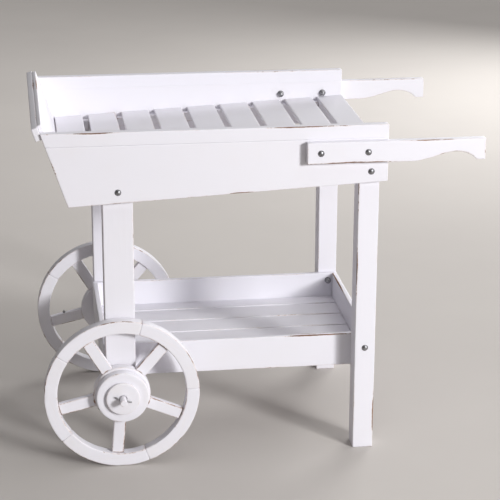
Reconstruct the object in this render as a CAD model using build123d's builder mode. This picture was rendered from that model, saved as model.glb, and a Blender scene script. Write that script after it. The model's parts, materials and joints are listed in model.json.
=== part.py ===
from build123d import *
import os
from math import atan2, cos, radians, sin, tan

# ---------------------------------------------------------------------------
# Push vending cart: a white painted timber barrow with a raked display tray,
# a boxed shelf, two spoked wheels and two stand legs.
# Millimetres.  X runs from the wheel end to the handles, Y across, Z up.
# The near side is -Y and the far side is +Y.  The floor is Z = 0 and the
# origin is under the middle of the cart.
# ---------------------------------------------------------------------------

# Tray
tray_length = 760.0          # along the top edge of a side board
tray_width = 576.0           # over the outside faces of the side boards
tray_top = 779.0             # height of the top edge
side_thickness = 21.0
end_depth = 165.0            # height of a side board at the wheel end
end_rake = 56.0              # how far its lower corner sits in from its top corner
floor_slope = 2.9            # degrees that the bottom edge and the slats climb
strip_height = 30.0          # top strip, edge-jointed to the wider side board
panel_thickness = 9.0
panel_gap = 1.0              # between the end panel and the first slat
rail_thickness = 14.0
rail_height = 29.0
rail_proud = 15.0            # how far the end rail stands above the side boards
rail_setback = 6.0           # each end of the rail, in from the outside faces

# Tray slats and what carries them
slat_count = 9
slat_gap = 14.4
slat_trim = 5.2              # cut off the last slat, which ends with the tray
slat_thickness = 10.0
slat_lift = 66.0             # slat top above the bottom edge of a side board
slat_end_gap = 0.8
runner_width = 20.0
runner_height = 22.0
runner_gap = 1.0             # between a runner's end and a leg or the panel
cross_rail_thickness = 15.0
cross_rail_height = 48.0
cross_rail_gap = 0.5         # between a cross rail and the nearest bolt washer

# Legs
leg_depth = 48.0             # across the cart
wheel_leg_width = 67.0
stand_leg_width = 47.0
stand_leg_inset = 14.2       # its handle-side face, in from the end of the tray

# Handles
handle_length = 398.0
handle_lap = 184.0           # how far a handle runs back along the side board
handle_thickness = 19.0
handle_depth = 48.0
grip_depth = 30.0            # depth of the grip at its thinnest
grip_reach = 108.0           # along the rising underside to the thinnest place
grip_swell_x = 48.0          # from the start of the rise to a place on it
grip_swell_z = 10.0          # how far the underside has risen there
grip_lean = 0.1              # slope of the underside where it starts to rise
tip_width = 20.0             # the drop at the end of the grip
tip_run = 32.0               # from the thinnest place to the drop
tip_lean = 0.6               # run of the underside for each unit that it drops

# Shelf
shelf_board_thickness = 12.0
shelf_board_height = 77.0
shelf_axle_gap = 6.0         # from the axle up to the bottom edge of the boards
shelf_floor_rise = 16.0      # from that edge up to the top of the shelf slats
shelf_overhang = 3.5         # how far the shelf runs past the wheel legs
shelf_slat_count = 6
shelf_edge_slat_width = 48.0
shelf_slat_gap = 6.0
shelf_slat_thickness = 8.0
batten_width = 40.0
batten_count = 3

# Wheels and axle
wheel_radius = 175.0
axle_x = 164.0               # from the tray's top corner
rim_depth = 30.0
rim_thickness = 27.0
wheel_gap = 3.0              # from a wheel leg's face to the wheel's back
felloe_joint = 0.25          # open joint between two felloes
felloe_count = 5
felloe_angle = 2.0
spoke_angle = 49.0
spoke_width = 27.0
spoke_thickness = 16.0
spoke_setback = 6.0          # spoke face, back from the rim's face
tenon_diameter = 11.0
tenon_length = 14.0
hub_radius = 64.0
hub_thickness = 23.0
boss_radius = 59.0
boss_thickness = 23.0
cap_radius = 38.0
cap_thickness = 8.0
axle_radius = 9.0
axle_reach = 26.0            # axle end, beyond the cap
bush_wall = 4.0
running_clearance = 0.06     # radial, bush to axle
cap_clearance = 0.5          # radial, cap to axle
washer_radius = 20.0
washer_thickness = 2.4
pin_diameter = 3.5
pin_length = 40.0
pin_gap = 1.4                # cap face to pin
pin_turn = 20.0
axle_chamfer = 1.2

# Fastenings
bolt_radius = 4.0
bolt_clearance = 0.2
bolt_head_radius = 7.4
bolt_head_height = 4.2
nut_across_flats = 13.0
nut_height = 6.0
nut_dome = 3.6
nut_dome_inset = 0.6         # the dome, in from the flats
bolt_washer_radius = 8.0
bolt_washer_thickness = 1.5
leg_bolt_drop = 41.0         # below the top of the tray slats
handle_bolt_inset = 30.0     # first bolt, from the start of a handle
tray_bolt_inset = 49.0       # second bolt, in from the end of the tray
tray_bolt_gap = 0.8          # its washer, above the tray slats
shelf_bolt_rise = 58.0       # above the bottom edge of the shelf
shelf_bolt_gap = 3.5         # its washer, from the end board of the shelf
screw_radius = 1.75
screw_head_radius = 3.6
screw_inset = 10.0           # slat screw, in from the slat's end
slat_screw_length = 28.0
shelf_screw_length = 34.0
shelf_screw_rises = (22.0, 58.0)

# ---------------------------------------------------------------------------
# Lines that several pieces share
# ---------------------------------------------------------------------------
rake_angle = atan2(end_rake, end_depth)
rail_reach = rail_thickness * cos(rake_angle) + rail_proud * sin(rake_angle)
wheel_reach = wheel_radius - axle_x
cart_start = -max(rail_reach, wheel_reach)
cart_end = tray_length - handle_lap + handle_length
x_tray = -(cart_start + cart_end) / 2

half_width = tray_width / 2
inner_face = half_width - side_thickness
leg_inner = inner_face - leg_depth
wheel_centre_x = x_tray + axle_x
axle_z = wheel_radius
wheel_back = inner_face + wheel_gap
rim_face = wheel_back + rim_thickness
spoke_face = rim_face - spoke_setback
hub_face = wheel_back + hub_thickness
boss_face = hub_face + boss_thickness
cap_face = boss_face + cap_thickness
axle_end = cap_face + axle_reach
pin_y = cap_face + pin_gap + pin_diameter / 2
rim_inner = wheel_radius - rim_depth
bush_inner = axle_radius + running_clearance
bush_outer = bush_inner + bush_wall
bolt_hole = bolt_radius + bolt_clearance
slope = tan(radians(floor_slope))
joint_z = tray_top - strip_height
slat_drop = slat_thickness / cos(radians(floor_slope))
sides = {"near": -1, "far": 1}


def end_line(z):
    """X of the raked end of a side board at height z."""
    return x_tray + end_rake * (tray_top - z) / end_depth


def bottom_line(x):
    """Z of a side board's bottom edge at x."""
    return tray_top - end_depth + (x - x_tray - end_rake) * slope


def slat_top(x):
    """Z of the tray slats' top surface at x."""
    return bottom_line(x) + slat_lift


def slat_underside(x):
    """Z of the tray slats' underside at x."""
    return slat_top(x) - slat_drop


def side_plane(side, y):
    """Upright plane at distance y on one side, facing outwards.

    Its local X runs towards the handles on the near side and towards the
    wheels on the far side, and its local Y runs up."""
    return Plane(origin=(0, side * y, 0), x_dir=(-side, 0, 0), z_dir=(0, side, 0))


def across(side, x):
    """Local X, on a side plane, of a place x in the cart."""
    return -side * x


def side_points(side, points):
    """Cart (x, z) points as local points of a side plane."""
    return [(across(side, x), z) for x, z in points]


# ---------------------------------------------------------------------------
# Places of the fastenings
# ---------------------------------------------------------------------------
wheel_leg_start = wheel_centre_x - wheel_leg_width / 2
wheel_leg_end = wheel_centre_x + wheel_leg_width / 2
tray_end = x_tray + tray_length
stand_leg_end = tray_end - stand_leg_inset
stand_leg_start = stand_leg_end - stand_leg_width
stand_leg_mid = stand_leg_end - stand_leg_width / 2
handle_start = tray_end - handle_lap
shelf_bottom = axle_z + axle_radius + shelf_axle_gap
shelf_bolt_x = stand_leg_end - shelf_board_thickness - bolt_washer_radius - shelf_bolt_gap

leg_bolts_at = [
    (wheel_centre_x, slat_top(wheel_centre_x) - leg_bolt_drop),
    (stand_leg_mid, slat_top(stand_leg_mid) - leg_bolt_drop),
]
tray_bolt_x = tray_end - tray_bolt_inset
handle_middle = slat_top(tray_bolt_x) + tray_bolt_gap + bolt_washer_radius
handle_bolts_at = [
    (handle_start + handle_bolt_inset, handle_middle),
    (tray_bolt_x, handle_middle),
]
shelf_bolts_at = [(shelf_bolt_x, shelf_bottom + shelf_bolt_rise)]
shelf_screws_at = [(wheel_centre_x, shelf_bottom + rise) for rise in shelf_screw_rises]

parts = {}


def keep(piece, name):
    """Label a finished piece and put it by for export."""
    piece.part.label = name
    parts[name] = piece.part


# ---------------------------------------------------------------------------
# Tray: side boards and their top strips
# ---------------------------------------------------------------------------
board_outline = [
    (end_line(joint_z), joint_z),
    (tray_end, joint_z),
    (tray_end, bottom_line(tray_end)),
    (x_tray + end_rake, tray_top - end_depth),
]
strip_outline = [
    (x_tray, tray_top),
    (tray_end, tray_top),
    (tray_end, joint_z),
    (end_line(joint_z), joint_z),
]

for side_name, side in sides.items():
    with BuildPart() as side_board:
        with BuildSketch(side_plane(side, inner_face)):
            with BuildLine():
                Polyline(*side_points(side, board_outline), close=True)
            make_face()
            with Locations(*side_points(side, leg_bolts_at + handle_bolts_at)):
                Circle(bolt_hole, mode=Mode.SUBTRACT)
        extrude(amount=side_thickness)
    keep(side_board, f"{side_name}_side_board")

    with BuildPart() as top_strip:
        with BuildSketch(side_plane(side, inner_face)):
            with BuildLine():
                Polyline(*side_points(side, strip_outline), close=True)
            make_face()
        extrude(amount=side_thickness)
    keep(top_strip, f"{side_name}_top_strip")

# ---------------------------------------------------------------------------
# Tray: raked end panel between the side boards, and the rail across its top
# ---------------------------------------------------------------------------
# The rake plane lies on the raked ends: its local X runs across the cart,
# its local Y climbs the rake, and it faces away from the cart.
rake_plane = Plane(
    origin=(x_tray, 0, tray_top),
    x_dir=(0, -1, 0),
    z_dir=(-cos(rake_angle), 0, -sin(rake_angle)),
)
rake_length = end_depth / cos(rake_angle)
panel_slant = panel_thickness / cos(rake_angle)

with BuildPart() as end_panel:
    with BuildSketch(rake_plane):
        with Locations((0, (rail_proud - rake_length) / 2)):
            Rectangle(2 * inner_face, rake_length + rail_proud)
    extrude(amount=-panel_thickness)
keep(end_panel, "end_panel")

with BuildPart() as end_rail:
    with BuildSketch(rake_plane):
        with Locations((0, rail_proud - rail_height / 2)):
            Rectangle(tray_width - 2 * rail_setback, rail_height)
    extrude(amount=rail_thickness)
keep(end_rail, "end_rail")

# ---------------------------------------------------------------------------
# Tray slats, laid across the cart on the climbing floor line
# ---------------------------------------------------------------------------
first_slat_x = end_line(slat_underside(x_tray + end_rake)) + panel_slant + panel_gap
slope_run = cos(radians(floor_slope))
slat_run = (tray_end - first_slat_x) / slope_run
slat_width = (slat_run + slat_trim - (slat_count - 1) * slat_gap) / slat_count
slat_pitch = slat_width + slat_gap
slat_plane = Plane(
    origin=(first_slat_x, 0, slat_underside(first_slat_x)),
    x_dir=(slope_run, 0, sin(radians(floor_slope))),
    z_dir=(-sin(radians(floor_slope)), 0, slope_run),
)
slat_half_length = inner_face - slat_end_gap
screw_y = slat_half_length - screw_inset
slat_screws_at = []

for index in range(slat_count):
    slat_start = index * slat_pitch
    slat_end = min(slat_start + slat_width, slat_run)
    slat_mid = (slat_start + slat_end) / 2
    slat_screws = [(slat_mid, -screw_y), (slat_mid, screw_y)]
    slat_screws_at += slat_screws
    with BuildPart() as tray_slat:
        with BuildSketch(slat_plane):
            with Locations((slat_mid, 0)):
                Rectangle(slat_end - slat_start, 2 * slat_half_length)
        extrude(amount=slat_thickness)
        with Locations(slat_plane.offset(slat_thickness)):
            with Locations(*slat_screws):
                CounterSinkHole(screw_radius, screw_head_radius)
    keep(tray_slat, f"tray_slat_{index + 1}")

with BuildPart() as slat_screw_set:
    with BuildSketch(slat_plane.offset(slat_thickness)):
        with Locations(*slat_screws_at):
            Circle(screw_radius)
    extrude(amount=-slat_screw_length)
    with BuildSketch(slat_plane.offset(slat_thickness)):
        with Locations(*slat_screws_at):
            Circle(screw_head_radius)
    extrude(amount=-(screw_head_radius - screw_radius), taper=45)
keep(slat_screw_set, "tray_slat_screws")
screw_body = slat_screw_set.part

# ---------------------------------------------------------------------------
# Screws from the shelf boards into the wheel legs
# ---------------------------------------------------------------------------
shelf_inner = leg_inner - shelf_board_thickness

with BuildPart() as shelf_screw_set:
    for side in sides.values():
        with BuildSketch(side_plane(side, shelf_inner)):
            with Locations(*side_points(side, shelf_screws_at)):
                Circle(screw_radius)
        extrude(amount=shelf_screw_length)
        with BuildSketch(side_plane(side, shelf_inner)):
            with Locations(*side_points(side, shelf_screws_at)):
                Circle(screw_head_radius)
        extrude(amount=screw_head_radius - screw_radius, taper=45)
keep(shelf_screw_set, "shelf_screws")
shelf_screw_body = shelf_screw_set.part

# ---------------------------------------------------------------------------
# Legs.  Their tops are cut to the slope and carry the slats.
# ---------------------------------------------------------------------------
wheel_leg_outline = [
    (wheel_leg_start, axle_z),
    (wheel_leg_start, slat_underside(wheel_leg_start)),
    (wheel_leg_end, slat_underside(wheel_leg_end)),
    (wheel_leg_end, axle_z),
]
stand_leg_outline = [
    (stand_leg_start, 0),
    (stand_leg_start, slat_underside(stand_leg_start)),
    (stand_leg_end, slat_underside(stand_leg_end)),
    (stand_leg_end, 0),
]

for side_name, side in sides.items():
    with BuildPart() as wheel_leg:
        with BuildSketch(side_plane(side, leg_inner)):
            with BuildLine():
                Polyline(*side_points(side, wheel_leg_outline), close=True)
            make_face()
            with Locations((across(side, wheel_centre_x), axle_z)):
                Circle(wheel_leg_width / 2)
                Circle(axle_radius, mode=Mode.SUBTRACT)
            with Locations(*side_points(side, leg_bolts_at[:1])):
                Circle(bolt_hole, mode=Mode.SUBTRACT)
        extrude(amount=leg_depth)
        add(screw_body, mode=Mode.SUBTRACT)
        add(shelf_screw_body, mode=Mode.SUBTRACT)
    keep(wheel_leg, f"{side_name}_wheel_leg")

    with BuildPart() as stand_leg:
        with BuildSketch(side_plane(side, leg_inner)):
            with BuildLine():
                Polyline(*side_points(side, stand_leg_outline), close=True)
            make_face()
            with Locations(*side_points(side, leg_bolts_at[1:] + shelf_bolts_at)):
                Circle(bolt_hole, mode=Mode.SUBTRACT)
        extrude(amount=leg_depth)
        add(screw_body, mode=Mode.SUBTRACT)
    keep(stand_leg, f"{side_name}_stand_leg")

# ---------------------------------------------------------------------------
# Runners along the side boards, and a cross rail between each pair of legs
# ---------------------------------------------------------------------------
def runner_outline(start, end):
    """Four points of a runner that hangs below the slats from start to end."""
    return [
        (start, slat_underside(start)),
        (end, slat_underside(end)),
        (end, slat_underside(end) - runner_height),
        (start, slat_underside(start) - runner_height),
    ]


runner_low_x = end_line(slat_underside(x_tray + end_rake) - runner_height)
runner_spans = [
    (runner_low_x + panel_slant + runner_gap, wheel_leg_start - runner_gap),
    (wheel_leg_end + runner_gap, stand_leg_start - runner_gap),
]

for side_name, side in sides.items():
    with BuildPart() as runners:
        for span in runner_spans:
            with BuildSketch(side_plane(side, inner_face - runner_width)):
                with BuildLine():
                    Polyline(*side_points(side, runner_outline(*span)), close=True)
                make_face()
            extrude(amount=runner_width)
        add(screw_body, mode=Mode.SUBTRACT)
    keep(runners, f"{side_name}_slat_runners")

cross_rails_at = {
    "wheel_cross_rail": wheel_centre_x,
    "stand_cross_rail": stand_leg_mid,
}
for rail_name, bolt_x in cross_rails_at.items():
    rail_end = bolt_x - bolt_washer_radius - cross_rail_gap
    rail_start = rail_end - cross_rail_thickness
    with BuildPart() as cross_rail:
        with BuildSketch(Plane.XZ.offset(-leg_inner)):
            with BuildLine():
                Polyline(
                    (rail_start, slat_underside(rail_start)),
                    (rail_end, slat_underside(rail_end)),
                    (rail_end, slat_underside(rail_start) - cross_rail_height),
                    (rail_start, slat_underside(rail_start) - cross_rail_height),
                    close=True,
                )
            make_face()
        extrude(amount=2 * leg_inner)
    keep(cross_rail, rail_name)

# ---------------------------------------------------------------------------
# Handles: a straight bar that thins to a grip and drops again at its tip
# ---------------------------------------------------------------------------
handle_end = handle_start + handle_length
handle_top = handle_middle + handle_depth / 2
handle_bottom = handle_middle - handle_depth / 2
tip_start = handle_end - tip_width
grip_thin_x = tip_start - tip_run
grip_thin_z = handle_top - grip_depth
grip_start = grip_thin_x - grip_reach
grip_swell = (grip_start + grip_swell_x, handle_bottom + grip_swell_z)

for side_name, side in sides.items():
    forward = across(side, 1)
    with BuildPart() as handle:
        with BuildSketch(side_plane(side, half_width)):
            with BuildLine():
                Polyline(*side_points(side, [
                    (grip_start, handle_bottom),
                    (handle_start, handle_bottom),
                    (handle_start, handle_top),
                    (handle_end, handle_top),
                    (handle_end, handle_bottom),
                    (tip_start, handle_bottom),
                ]))
                Spline(
                    *side_points(side, [
                        (grip_start, handle_bottom),
                        grip_swell,
                        (grip_thin_x, grip_thin_z),
                        (tip_start, handle_bottom),
                    ]),
                    tangents=[(forward, grip_lean), (forward * tip_lean, -1)],
                )
            make_face()
            with Locations(*side_points(side, handle_bolts_at)):
                Circle(bolt_hole, mode=Mode.SUBTRACT)
        extrude(amount=handle_thickness)
    keep(handle, f"{side_name}_handle")

# ---------------------------------------------------------------------------
# Shelf: a shallow box between the legs, floored with lengthwise slats
# ---------------------------------------------------------------------------
shelf_start = wheel_leg_start - shelf_overhang
shelf_end = stand_leg_end
shelf_floor_start = shelf_start + shelf_board_thickness
shelf_floor_end = shelf_end - shelf_board_thickness
shelf_mid = (shelf_start + shelf_end) / 2
shelf_floor = shelf_bottom + shelf_floor_rise
slat_base = shelf_floor - shelf_slat_thickness
for side_name, side in sides.items():
    with BuildPart() as shelf_board:
        with BuildSketch(side_plane(side, shelf_inner)):
            with Locations((across(side, shelf_mid), shelf_bottom + shelf_board_height / 2)):
                Rectangle(shelf_end - shelf_start, shelf_board_height)
            with Locations(*side_points(side, shelf_bolts_at)):
                Circle(bolt_hole, mode=Mode.SUBTRACT)
        extrude(amount=shelf_board_thickness)
        add(shelf_screw_body, mode=Mode.SUBTRACT)
    keep(shelf_board, f"shelf_{side_name}_board")

shelf_ends_at = {
    "shelf_wheel_end_board": shelf_start,
    "shelf_handle_end_board": shelf_floor_end,
}
for board_name, board_start in shelf_ends_at.items():
    with BuildPart() as end_board:
        with BuildSketch(Plane.XY.offset(shelf_bottom)):
            with Locations((board_start + shelf_board_thickness / 2, 0)):
                Rectangle(shelf_board_thickness, 2 * shelf_inner)
        extrude(amount=shelf_board_height)
    keep(end_board, board_name)

# The two edge slats are narrower; the middle ones share what is left.
middle_count = shelf_slat_count - 2
middle_run = 2 * (shelf_inner - shelf_edge_slat_width) - (shelf_slat_count - 1) * shelf_slat_gap
shelf_slat_width = middle_run / middle_count
shelf_pitch = shelf_slat_width + shelf_slat_gap
for index in range(shelf_slat_count):
    low = (index - shelf_slat_count / 2) * shelf_pitch + shelf_slat_gap / 2
    high = low + shelf_slat_width
    if index == 0:
        low = -shelf_inner
    if index == shelf_slat_count - 1:
        high = shelf_inner
    with BuildPart() as shelf_slat:
        with BuildSketch(Plane.XY.offset(slat_base)):
            with Locations((shelf_mid, (low + high) / 2)):
                Rectangle(shelf_floor_end - shelf_floor_start, high - low)
        extrude(amount=shelf_slat_thickness)
    keep(shelf_slat, f"shelf_slat_{index + 1}")

batten_start = shelf_floor_start + batten_width / 2
batten_step = (shelf_floor_end - shelf_floor_start - batten_width) / (batten_count - 1)
for index in range(batten_count):
    with BuildPart() as shelf_batten:
        with BuildSketch(Plane.XY.offset(shelf_bottom)):
            with Locations((batten_start + index * batten_step, 0)):
                Rectangle(batten_width, 2 * shelf_inner)
        extrude(amount=slat_base - shelf_bottom)
    keep(shelf_batten, f"shelf_batten_{index + 1}")

# ---------------------------------------------------------------------------
# Axle, its washers and the pins that keep the wheels on
# ---------------------------------------------------------------------------
with BuildPart() as axle_pin_set:
    for side in sides.values():
        pin_dir = (cos(radians(pin_turn)), 0, -sin(radians(pin_turn)))
        pin_plane = Plane(origin=(wheel_centre_x, side * pin_y, axle_z), z_dir=pin_dir)
        with BuildSketch(pin_plane.offset(-pin_length / 2)):
            Circle(pin_diameter / 2)
        extrude(amount=pin_length)
keep(axle_pin_set, "axle_pins")

with BuildPart() as axle:
    with BuildSketch(side_plane(1, -axle_end)):
        with Locations((across(1, wheel_centre_x), axle_z)):
            Circle(axle_radius)
    extrude(amount=2 * axle_end)
    chamfer(axle.edges().filter_by(GeomType.CIRCLE), axle_chamfer)
    add(axle_pin_set.part, mode=Mode.SUBTRACT)
keep(axle, "axle")

with BuildPart() as axle_washer_set:
    for side in sides.values():
        with BuildSketch(side_plane(side, inner_face)):
            with Locations((across(side, wheel_centre_x), axle_z)):
                Circle(washer_radius)
                Circle(axle_radius, mode=Mode.SUBTRACT)
        extrude(amount=washer_thickness)
keep(axle_washer_set, "axle_washers")

# ---------------------------------------------------------------------------
# Wheels: five felloes and five spokes round a stacked hub
# ---------------------------------------------------------------------------
spoke_back = spoke_face - spoke_thickness
spoke_middle = (spoke_face + spoke_back) / 2
step = 360 / felloe_count


def wheel_angle(side, angle):
    """Angle on a side plane of a direction given on the near side."""
    return angle if side < 0 else 180 - angle


for side_name, side in sides.items():
    centre = (across(side, wheel_centre_x), axle_z)
    spoke_angles = [wheel_angle(side, spoke_angle + step * k) for k in range(felloe_count)]
    joint_angles = [wheel_angle(side, felloe_angle + step * k) for k in range(felloe_count)]
    spoke_planes = []
    for angle in spoke_angles:
        local = (cos(radians(angle)), sin(radians(angle)))
        outward = (across(side, local[0]), 0, local[1])
        origin = (wheel_centre_x, side * spoke_middle, axle_z)
        spoke_planes.append(Plane(origin=origin, x_dir=(0, 1, 0), z_dir=outward))

    with BuildPart() as tenons:
        for plane in spoke_planes:
            with BuildSketch(plane.offset(hub_radius - tenon_length)):
                Circle(tenon_diameter / 2)
            extrude(amount=rim_inner - hub_radius + 2 * tenon_length)

    with BuildPart() as felloes:
        with BuildSketch(side_plane(side, wheel_back)):
            with Locations(centre):
                Circle(wheel_radius)
                Circle(rim_inner, mode=Mode.SUBTRACT)
                with PolarLocations(0, felloe_count, start_angle=joint_angles[0]):
                    Rectangle(
                        2 * wheel_radius,
                        felloe_joint,
                        align=(Align.MIN, Align.CENTER),
                        mode=Mode.SUBTRACT,
                    )
        extrude(amount=rim_thickness)
        add(tenons.part, mode=Mode.SUBTRACT)
    keep(felloes, f"{side_name}_wheel_felloes")

    with BuildPart() as spokes:
        for plane in spoke_planes:
            with BuildSketch(plane.offset(hub_radius / 2)):
                Rectangle(spoke_thickness, spoke_width)
            extrude(amount=(rim_inner + wheel_radius) / 2 - hub_radius / 2)
        with BuildSketch(side_plane(side, wheel_back)):
            with Locations(centre):
                Circle(rim_inner)
                Circle(hub_radius, mode=Mode.SUBTRACT)
        extrude(amount=rim_thickness, mode=Mode.INTERSECT)
        add(tenons.part)
    keep(spokes, f"{side_name}_wheel_spokes")

    with BuildPart() as hub_disc:
        with BuildSketch(side_plane(side, wheel_back)):
            with Locations(centre):
                Circle(hub_radius)
                Circle(bush_outer, mode=Mode.SUBTRACT)
        extrude(amount=hub_thickness)
        add(tenons.part, mode=Mode.SUBTRACT)
    keep(hub_disc, f"{side_name}_wheel_hub_disc")

    with BuildPart() as boss:
        with BuildSketch(side_plane(side, hub_face)):
            with Locations(centre):
                Circle(boss_radius)
                Circle(bush_outer, mode=Mode.SUBTRACT)
        extrude(amount=boss_thickness)
    keep(boss, f"{side_name}_wheel_boss")

    with BuildPart() as cap:
        with BuildSketch(side_plane(side, boss_face)):
            with Locations(centre):
                Circle(cap_radius)
                Circle(axle_radius + cap_clearance, mode=Mode.SUBTRACT)
        extrude(amount=cap_thickness)
    keep(cap, f"{side_name}_wheel_cap")

    with BuildPart() as bush:
        with BuildSketch(side_plane(side, wheel_back)):
            with Locations(centre):
                Circle(bush_outer)
                Circle(bush_inner, mode=Mode.SUBTRACT)
        extrude(amount=hub_thickness + boss_thickness)
    keep(bush, f"{side_name}_wheel_bush")

# ---------------------------------------------------------------------------
# Bolts with domed heads outside, and a washer and a domed nut inside
# ---------------------------------------------------------------------------
head_sphere = (bolt_head_radius**2 + bolt_head_height**2) / (2 * bolt_head_height)
bolt_groups = {
    "handle_bolts": (handle_bolts_at, half_width + handle_thickness, inner_face),
    "leg_bolts": (leg_bolts_at, half_width, leg_inner),
    "shelf_bolts": (shelf_bolts_at, inner_face, shelf_inner),
}


def bolt_places(places):
    """Every (side, x, z) of a bolt that both sides have."""
    return [(side, x, z) for side in sides.values() for x, z in places]


for group_name, (places, outer, inner) in bolt_groups.items():
    shank_end = inner - bolt_washer_thickness - nut_height
    with BuildPart() as bolts:
        for side, x, z in bolt_places(places):
            with BuildSketch(side_plane(side, shank_end)):
                with Locations((across(side, x), z)):
                    Circle(bolt_radius)
            extrude(amount=outer - shank_end)
            head_plane = Plane(origin=(x, side * outer, z), x_dir=(1, 0, 0), z_dir=(0, 0, 1))
            with BuildSketch(head_plane):
                with BuildLine():
                    Line((0, 0), (bolt_head_radius, 0))
                    RadiusArc(
                        (bolt_head_radius, 0),
                        (0, side * bolt_head_height),
                        -side * head_sphere,
                    )
                    Line((0, side * bolt_head_height), (0, 0))
                make_face()
            revolve(axis=Axis((x, side * outer, z), (0, 1, 0)))
    keep(bolts, group_name)

with BuildPart() as washers:
    for places, outer, inner in bolt_groups.values():
        for side, x, z in bolt_places(places):
            with BuildSketch(side_plane(side, inner - bolt_washer_thickness)):
                with Locations((across(side, x), z)):
                    Circle(bolt_washer_radius)
                    Circle(bolt_hole, mode=Mode.SUBTRACT)
            extrude(amount=bolt_washer_thickness)
keep(washers, "bolt_washers")

nut_dome_radius = nut_across_flats / 2 - nut_dome_inset
nut_sphere = (nut_dome_radius**2 + nut_dome**2) / (2 * nut_dome)
with BuildPart() as nuts:
    for places, outer, inner in bolt_groups.values():
        for side, x, z in bolt_places(places):
            nut_back = inner - bolt_washer_thickness
            nut_front = nut_back - nut_height
            with BuildSketch(side_plane(side, nut_front)):
                with Locations((across(side, x), z)):
                    RegularPolygon(nut_across_flats / 2, 6, major_radius=False)
            extrude(amount=nut_height)
            dome_plane = Plane(origin=(x, side * nut_front, z), x_dir=(1, 0, 0), z_dir=(0, 0, 1))
            with BuildSketch(dome_plane):
                with BuildLine():
                    Line((0, 0), (nut_dome_radius, 0))
                    RadiusArc(
                        (nut_dome_radius, 0),
                        (0, -side * nut_dome),
                        side * nut_sphere,
                    )
                    Line((0, -side * nut_dome), (0, 0))
                make_face()
            revolve(axis=Axis((x, side * nut_front, z), (0, 1, 0)))
            with BuildSketch(side_plane(side, nut_front)):
                with Locations((across(side, x), z)):
                    Circle(bolt_radius)
            extrude(amount=nut_height, mode=Mode.SUBTRACT)
keep(nuts, "bolt_nuts")

# ---------------------------------------------------------------------------
# Export
# ---------------------------------------------------------------------------
os.makedirs("parts", exist_ok=True)
for name, piece in parts.items():
    export_step(piece, f"parts/{name}.step")
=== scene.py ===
import json
import math

import bmesh
import bpy
import numpy as np
from mathutils import Matrix, Vector

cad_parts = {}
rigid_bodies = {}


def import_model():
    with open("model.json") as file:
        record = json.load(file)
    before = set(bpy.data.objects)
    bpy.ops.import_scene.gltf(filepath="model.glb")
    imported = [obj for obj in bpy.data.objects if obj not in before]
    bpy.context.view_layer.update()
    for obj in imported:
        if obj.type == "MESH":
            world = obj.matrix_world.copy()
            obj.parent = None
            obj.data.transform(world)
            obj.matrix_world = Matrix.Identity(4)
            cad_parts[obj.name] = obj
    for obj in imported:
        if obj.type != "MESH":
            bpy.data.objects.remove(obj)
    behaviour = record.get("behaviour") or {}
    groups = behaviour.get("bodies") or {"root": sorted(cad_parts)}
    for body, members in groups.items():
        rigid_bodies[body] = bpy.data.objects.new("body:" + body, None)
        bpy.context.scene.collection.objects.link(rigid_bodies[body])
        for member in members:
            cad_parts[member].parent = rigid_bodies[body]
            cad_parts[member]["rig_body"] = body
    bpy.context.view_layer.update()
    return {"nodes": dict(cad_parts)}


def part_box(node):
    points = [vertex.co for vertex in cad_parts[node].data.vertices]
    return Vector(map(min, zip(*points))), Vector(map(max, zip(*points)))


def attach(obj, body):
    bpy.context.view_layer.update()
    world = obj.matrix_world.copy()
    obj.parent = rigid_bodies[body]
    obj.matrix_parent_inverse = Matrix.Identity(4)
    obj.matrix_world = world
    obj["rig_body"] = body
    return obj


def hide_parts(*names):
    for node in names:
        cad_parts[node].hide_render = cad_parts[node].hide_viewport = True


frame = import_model()
nodes = frame["nodes"]
body_of = {name: piece["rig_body"] for name, piece in nodes.items()}

# --------------------------------------
# Sizes, in metres
# --------------------------------------
X, Y, Z = 0, 1, 2
SIDES = ("near", "far")

BOARD_EDGE = 0.0016          # rounding of a planed board's edges under thick paint
LEG_EDGE = 0.0020
FELLOE_EDGE = 0.0022
SPOKE_EDGE = 0.0020
HUB_EDGES = (("hub_disc", 0.0022), ("boss", 0.0026), ("cap", 0.0022))
AXLE_EDGE = 0.0012
CHIP = 0.0007                # depth of the chips along a board's edges
HANDLE_CHIP = 0.0012
FELLOE_CHIP = 0.0014
SPOKE_CHIP = 0.0010
HUB_CHIP = 0.0008
AXLE_CHIP = 0.0003
RUBBED_DEPTH = 0.0012        # depth of the wood lost where a board is rubbed
HANDLE_RUBBED_DEPTH = 0.0022
ARC_MARGIN = 0.003           # how near a felloe's arcs count as part of them
FIELD = 0.0085               # how far from an edge the wear can reach
STEP = 0.009                 # distance between rows of points along an edge
ARC_STEPS = 3                # steps round a rounded edge
CORNER_TURN = math.radians(20)    # an outline that turns more than this has a corner
GENTLE_TURN = math.radians(6)
FACET_TURNS = 96             # facets round a turned part
JOINT_ROUND = 0.22           # share of the rounding left where two pieces meet
GLUE_OUTSIDE = 0.85          # share of the rounding left on the outside of a glued joint
GLUE_INSIDE = 0.1
JOINT_WEAR = 0.35            # share of the wear left where two pieces meet
TREAD_RUB = 0.12             # how much a wheel's tread is rubbed
TREAD_START = 0.985          # where the tread starts, as a share of the wheel's radius
JOIN = 1e-6                  # points closer than this are one point
TOUCHING = 1e-4              # faces closer than this meet

# --------------------------------------
# Outlines read from the frame
# --------------------------------------


def joined_mesh(node):
    """A bmesh of a node with its loose triangles joined."""
    mesh = bmesh.new()
    mesh.from_mesh(nodes[node].data)
    bmesh.ops.remove_doubles(mesh, verts=mesh.verts, dist=JOIN)
    return mesh


def separate_solids(mesh):
    """The faces of each separate solid in a joined mesh, in the order of the mesh's faces."""
    seen = set()
    found = []
    for start in mesh.faces:
        if start in seen:
            continue
        seen.add(start)
        solid = [start]
        for face in solid:
            for edge in face.edges:
                for other in edge.link_faces:
                    if other not in seen:
                        seen.add(other)
                        solid.append(other)
        found.append(solid)
    return found


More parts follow.
